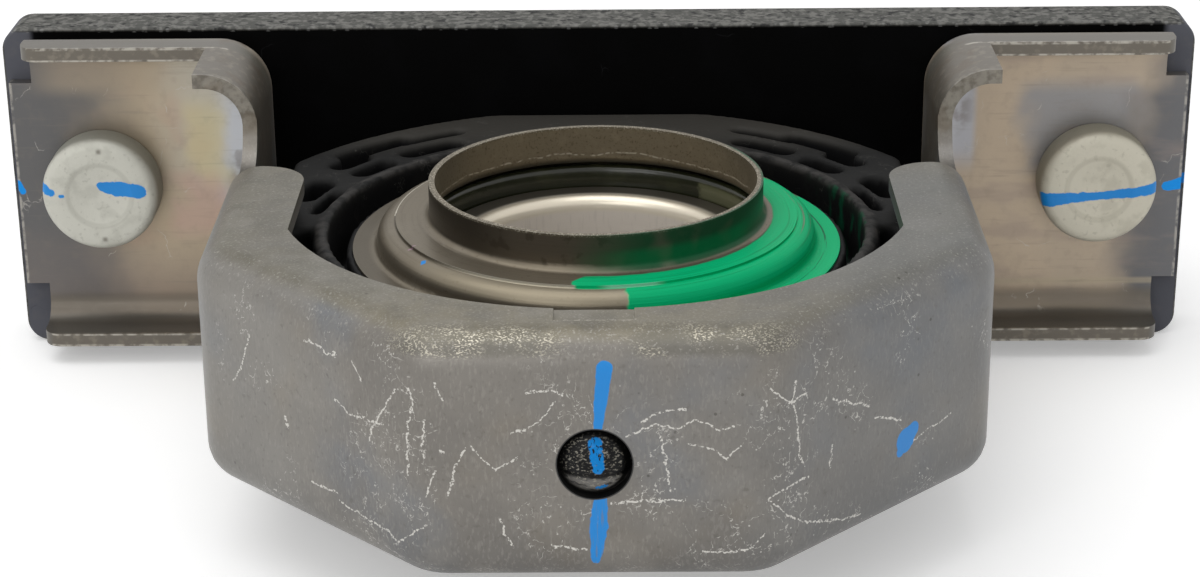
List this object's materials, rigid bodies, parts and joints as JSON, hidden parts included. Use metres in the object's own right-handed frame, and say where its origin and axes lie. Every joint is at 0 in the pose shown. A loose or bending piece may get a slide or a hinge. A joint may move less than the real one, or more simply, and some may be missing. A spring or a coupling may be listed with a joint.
{
  "type": "driveshaft centre bearing",
  "caption": "Ball bearing in a rubber cushion, held by a pressed steel hoop whose studded ears sit on a flat back plate; carries the middle of a two-piece driveshaft.",
  "frame": {"origin": "middle of the bearing, on the shaft's axis", "axes": "+Z along the shaft, +Y towards the back plate, +X along the plate"},
  "size_m": [0.262, 0.1938, 0.074],
  "materials": {
    "plate_paint": "black paint, rough cut edges",
    "bracket_steel": "bare pressed steel with heat tint and scratches",
    "stud_steel": "matt zinc plating",
    "cushion_rubber": "matt moulded rubber",
    "shield_steel": "satin pressed steel",
    "bearing_steel": "ground",
    "seal_rubber": "greasy",
    "cage_steel": "pressed sheet",
    "ball_steel": "polished"
  },
  "bodies": {
    "housing": {"back_plate": "plate_paint", "bracket": "bracket_steel", "left_stud": "stud_steel", "right_stud": "stud_steel", "rubber_cushion": "cushion_rubber", "upper_shield": "shield_steel", "lower_shield": "shield_steel", "outer_ring": "bearing_steel", "upper_seal": "seal_rubber", "lower_seal": "seal_rubber"},
    "shaft_ring": {"inner_ring": "bearing_steel"},
    "ball_set": {"upper_cage": "cage_steel", "lower_cage": "cage_steel", "cage_rivets": "cage_steel", "ball_01": "ball_steel", "ball_02": "ball_steel", "ball_03": "ball_steel", "ball_04": "ball_steel", "ball_05": "ball_steel", "ball_06": "ball_steel", "ball_07": "ball_steel", "ball_08": "ball_steel", "ball_09": "ball_steel", "ball_10": "ball_steel"}
  },
  "joints": [
    {"name": "inner_spin", "type": "hinge", "parent": "housing", "child": "shaft_ring", "pos_m": [0, 0, 0], "axis": [0, 0, 1], "continuous": true},
    {"name": "cage_spin", "type": "hinge", "parent": "housing", "child": "ball_set", "pos_m": [0, 0, 0], "axis": [0, 0, 1], "continuous": true}
  ],
  "couplings": [
    {"joint": "cage_spin", "follows": "inner_spin", "ratio": 0.4106}
  ]
}
